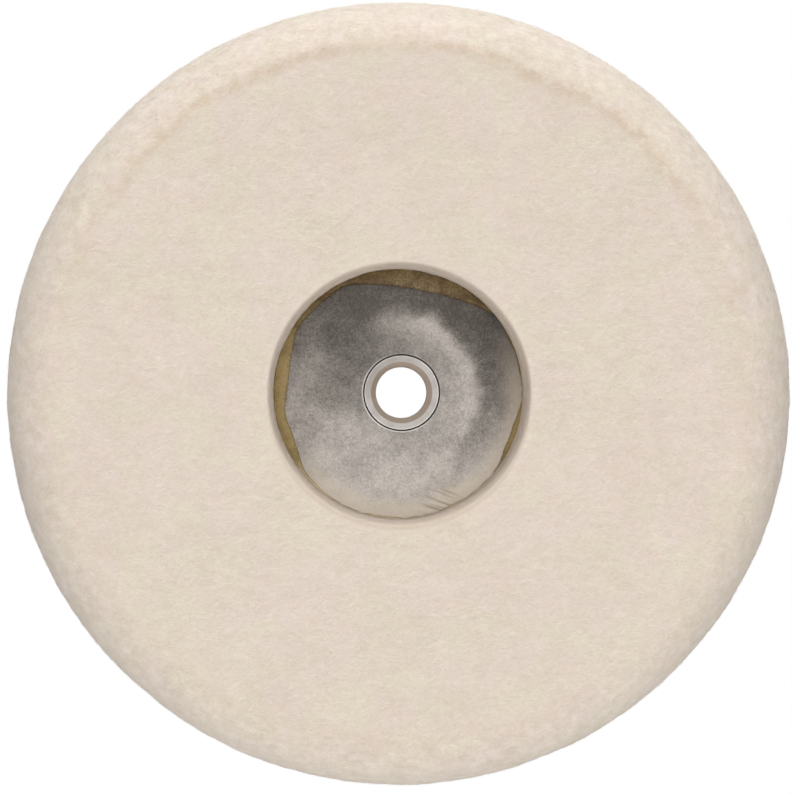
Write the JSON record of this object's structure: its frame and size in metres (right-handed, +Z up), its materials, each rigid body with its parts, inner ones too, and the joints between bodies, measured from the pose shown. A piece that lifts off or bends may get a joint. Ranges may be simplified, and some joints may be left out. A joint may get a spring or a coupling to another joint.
{
  "type": "felt polishing wheel",
  "caption": "Thick pressed-felt disc with a rounded edge, glued to a round steel backing plate with a threaded hub, for polishing on a hand-held angle polisher.",
  "frame": {"origin": "on the wheel's axis, in the hub's rear face, where the spindle's shoulder seats", "axes": "+Y along the spin axis from the polishing face towards the machine; the polishing face looks along -Y; +Z up"},
  "size_m": [0.178, 0.0403, 0.178],
  "materials": {
    "felt": "natural off-white pressed wool, fibrous, matt",
    "adhesive": "cured yellow-brown contact glue, satin",
    "plate_steel": "bare sheet steel with a cloudy grey tarnish",
    "hub_steel": "bright turned steel"
  },
  "bodies": {
    "root": {"felt_disc": "felt", "adhesive_layer": "adhesive", "backing_plate": "plate_steel", "threaded_hub": "hub_steel"}
  },
  "joints": []
}
